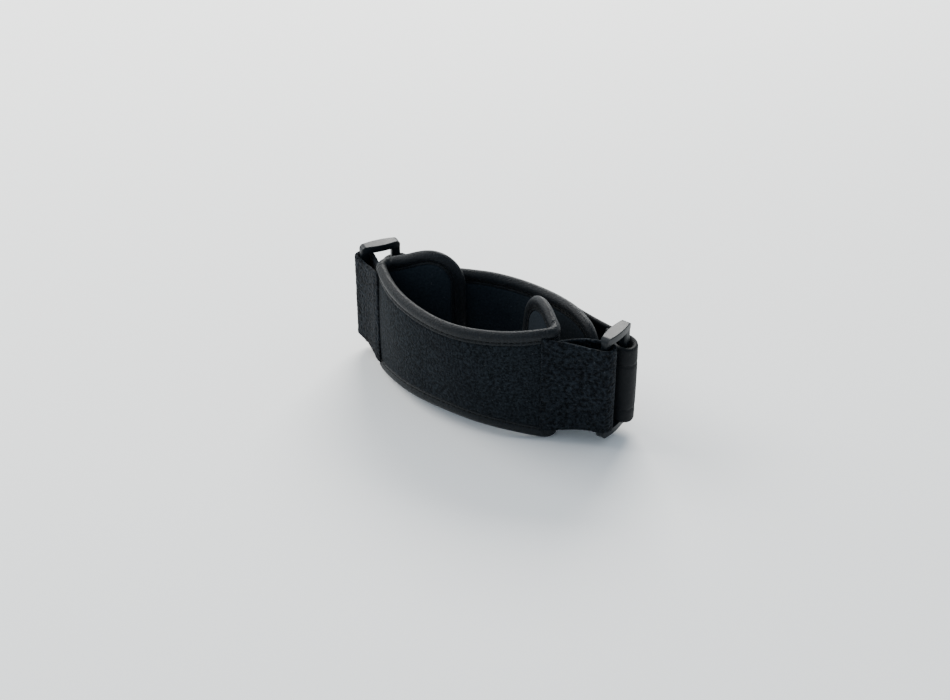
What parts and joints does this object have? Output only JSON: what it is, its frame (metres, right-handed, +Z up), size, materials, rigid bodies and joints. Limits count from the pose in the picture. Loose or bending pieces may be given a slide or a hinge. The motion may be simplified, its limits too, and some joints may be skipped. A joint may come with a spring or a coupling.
{
  "type": "adjustable joint support strap",
  "caption": "Padded two-part support band for a limb, joined by plastic rings with peel-and-stick pull straps and folded end flaps.",
  "frame": {"origin": "centre of the bounding box on the surface the band stands on", "axes": "+X from the left ring to the right ring, +Y from the front pad to the back pad, +Z up along the band's width"},
  "size_m": [0.1654, 0.0616, 0.0753],
  "materials": {
    "brushed_cover": "brushed loop fabric",
    "smooth_lining": "smooth knit",
    "foam": "closed-cell foam",
    "binding_tape": "smooth stretch tape",
    "pile_strap": "looped pile",
    "hook_tape": "moulded hooks",
    "anchor_webbing": "padded smooth webbing",
    "ring_plastic": "satin moulded plastic"
  },
  "bodies": {
    "front_pad": {"front_outer_cover": "brushed_cover", "front_foam_core": "foam", "front_inner_lining": "smooth_lining", "front_edge_binding": "binding_tape", "left_pull_strap": "pile_strap", "right_pull_strap": "pile_strap"},
    "left_flap": {"left_flap_outer_cover": "brushed_cover", "left_flap_foam_core": "foam", "left_flap_inner_lining": "smooth_lining", "left_flap_edge_binding": "binding_tape"},
    "right_flap": {"right_flap_outer_cover": "brushed_cover", "right_flap_foam_core": "foam", "right_flap_inner_lining": "smooth_lining", "right_flap_edge_binding": "binding_tape"},
    "left_ring": {"left_ring": "ring_plastic"},
    "right_ring": {"right_ring": "ring_plastic"},
    "back_pad": {"back_outer_cover": "brushed_cover", "back_foam_core": "foam", "back_inner_lining": "smooth_lining", "back_edge_binding": "binding_tape", "left_anchor_strap": "anchor_webbing", "right_anchor_strap": "anchor_webbing"},
    "left_tab": {"left_pull_tab": "pile_strap", "left_hook_patch": "hook_tape"},
    "right_tab": {"right_pull_tab": "pile_strap", "right_hook_patch": "hook_tape"}
  },
  "joints": [
    {"name": "left_ring_pivot", "type": "hinge", "parent": "front_pad", "child": "left_ring", "pos_m": [-0.07731, 0.00432, 0.0345], "axis": [0, 0, 1], "range_deg": [-8, 12]},
    {"name": "right_ring_pivot", "type": "hinge", "parent": "front_pad", "child": "right_ring", "pos_m": [0.07459, -0.00208, 0.0345], "axis": [0, 0, 1], "range_deg": [-8, 12]},
    {"name": "back_pad_swing", "type": "hinge", "parent": "left_ring", "child": "back_pad", "pos_m": [-0.06753, 0.01883, 0.0345], "axis": [0, 0, 1], "range_deg": [-13, 13]},
    {"name": "left_tab_peel", "type": "hinge", "parent": "front_pad", "child": "left_tab", "pos_m": [-0.07731, 0.00432, 0.0345], "axis": [0, 0, -1], "range_deg": [0, 110]},
    {"name": "right_tab_peel", "type": "hinge", "parent": "front_pad", "child": "right_tab", "pos_m": [0.07459, -0.00208, 0.0345], "axis": [0, 0, 1], "range_deg": [0, 110]},
    {"name": "left_flap_fold", "type": "hinge", "parent": "front_pad", "child": "left_flap", "pos_m": [-0.054, -0.00483, 0.0345], "axis": [0, 0, -1], "range_deg": [0, 25]},
    {"name": "right_flap_fold", "type": "hinge", "parent": "front_pad", "child": "right_flap", "pos_m": [0.0446, -0.00999, 0.0345], "axis": [0, 0, 1], "range_deg": [0, 25]}
  ],
  "couplings": [
    {"joint": "right_ring_pivot", "follows": "left_ring_pivot", "ratio": 0.8411},
    {"joint": "back_pad_swing", "follows": "left_ring_pivot", "ratio": -1.0636}
  ]
}
